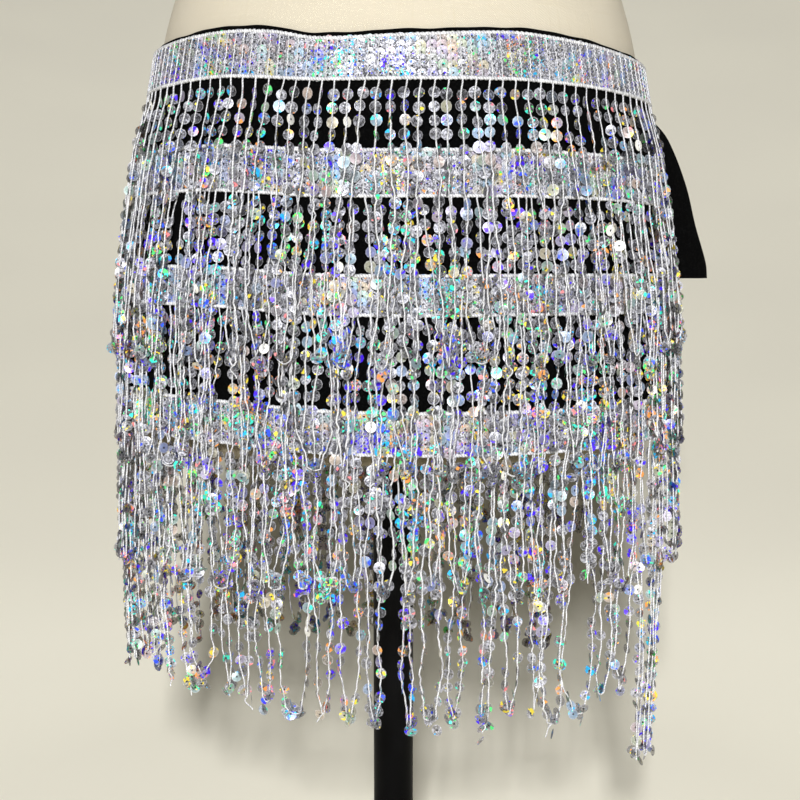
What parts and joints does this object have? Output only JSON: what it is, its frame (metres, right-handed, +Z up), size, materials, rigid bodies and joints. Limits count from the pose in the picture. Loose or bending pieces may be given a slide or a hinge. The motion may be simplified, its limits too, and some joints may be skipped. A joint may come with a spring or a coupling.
{
  "type": "belly dance hip belt tied on a limbless hip form and stand",
  "caption": "Wrap hip belt with sequin bands and hanging sequin-string fringe, tied at the side of a limbless hip form on a pole stand.",
  "frame": {"origin": "centre of the base's underside, on the floor", "axes": "+Z up the pole; -Y is the wearer's front, which the main view faces; +X is the wearer's left hip, where the belt is tied"},
  "size_m": [0.3858, 0.2733, 0.672],
  "materials": {
    "form_cover": "smooth cream jersey cover, matte",
    "stand_black": "black powder coat, satin",
    "knit_black": "black stretch knit, matte",
    "sequin_band": "overlapping clear iridescent sequins between white chain stitch",
    "sequin_strand": "clear iridescent sequins on white thread"
  },
  "bodies": {
    "root": {"hip_form": "form_cover", "stand_pole": "stand_black", "stand_collar": "stand_black", "stand_base": "stand_black", "wrap_cloth": "knit_black", "band_1": "sequin_band", "band_2": "sequin_band", "band_3": "sequin_band", "band_4": "sequin_band", "fringe_1": "sequin_strand", "fringe_2": "sequin_strand", "fringe_3": "sequin_strand", "fringe_4": "sequin_strand", "tie_strap_front": "knit_black", "tie_strap_rear": "knit_black", "tie_knot": "knit_black", "tie_end_front": "knit_black", "tie_end_rear": "knit_black"}
  },
  "joints": []
}
